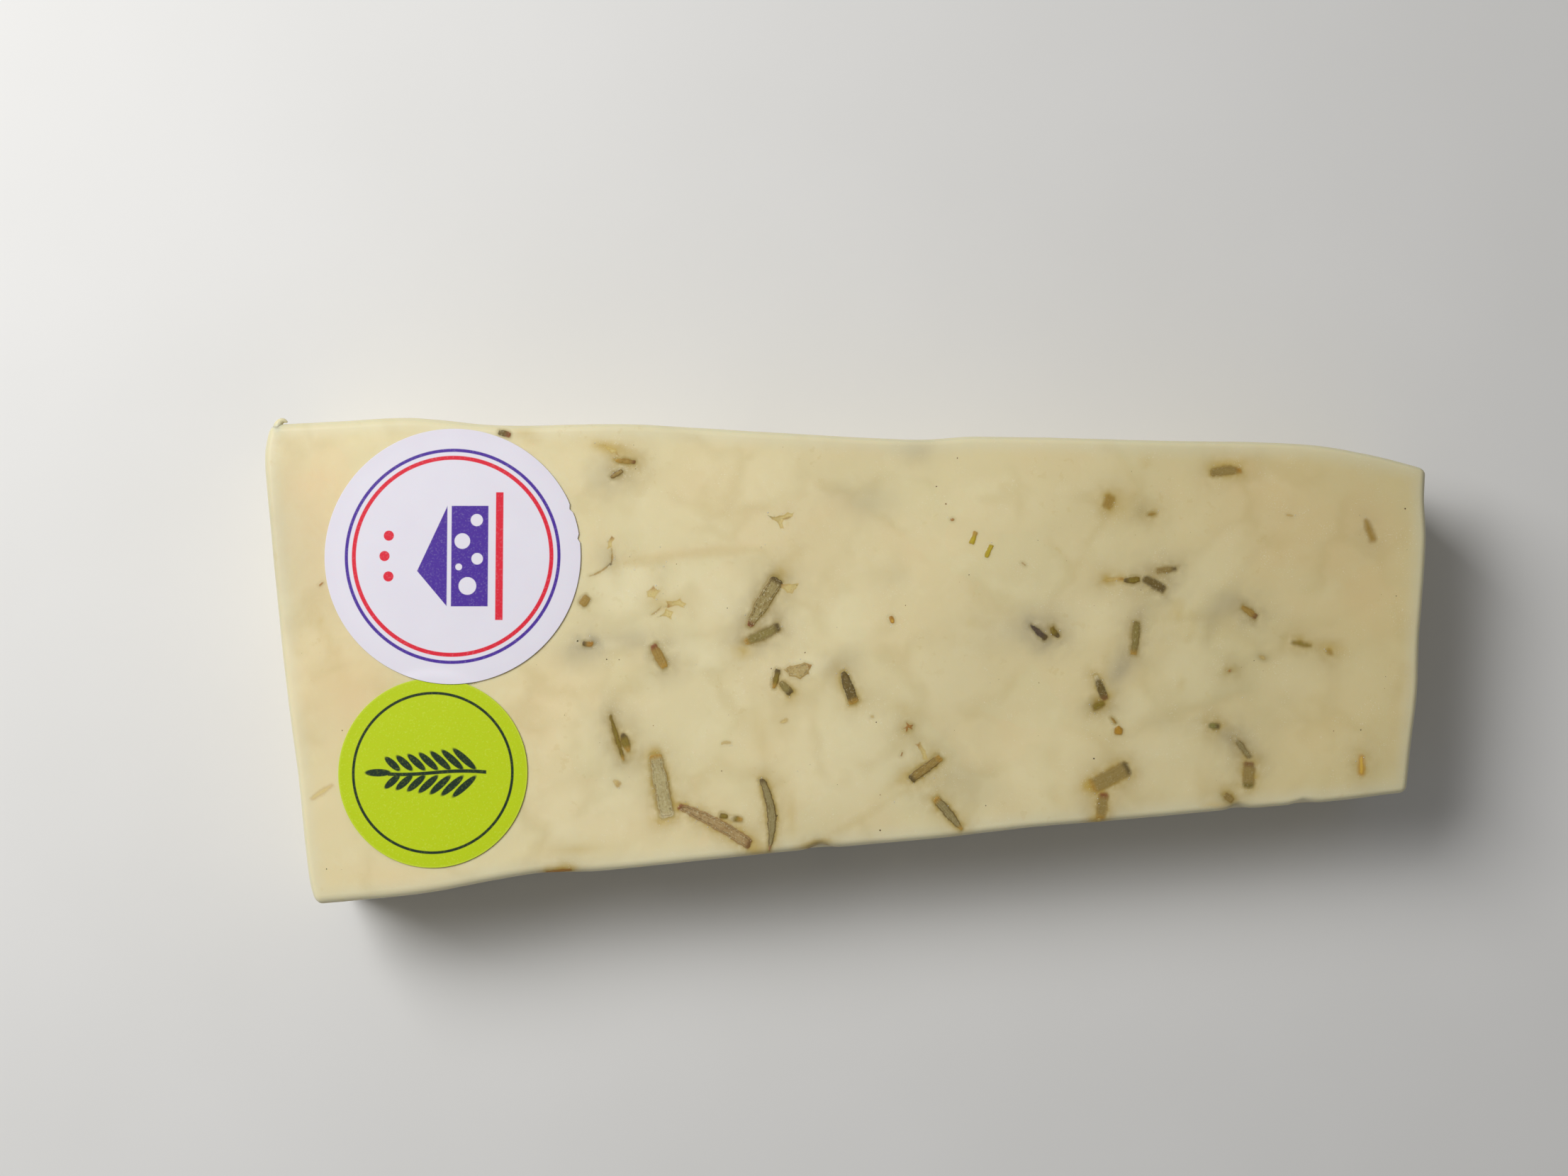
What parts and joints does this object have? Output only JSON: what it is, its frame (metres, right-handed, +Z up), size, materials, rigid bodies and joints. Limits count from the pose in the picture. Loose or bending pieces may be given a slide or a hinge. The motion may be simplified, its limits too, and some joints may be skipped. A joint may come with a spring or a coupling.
{
  "type": "flavoured cheddar",
  "caption": "long tapering slab of pale garlic and rosemary cheddar with soft rounded edges, needles of herb set in its faces and two round paper labels on its top face",
  "frame": {"origin": "under the middle of the slab, on the surface it lies on", "axes": "+X runs along the slab from its wide end to its narrow end, +Y across it towards the cut with the white label, +Z up out of the labelled face"},
  "size_m": [0.1713, 0.0717, 0.0235],
  "materials": {
    "herb_cheddar": "moist, slightly waxy pale cream cheese, a little translucent, with grey-green rosemary set in it",
    "white_paper": null,
    "green_paper": null
  },
  "bodies": {
    "root": {"cheese": "herb_cheddar", "white_label": "white_paper", "green_label": "green_paper"}
  },
  "joints": []
}
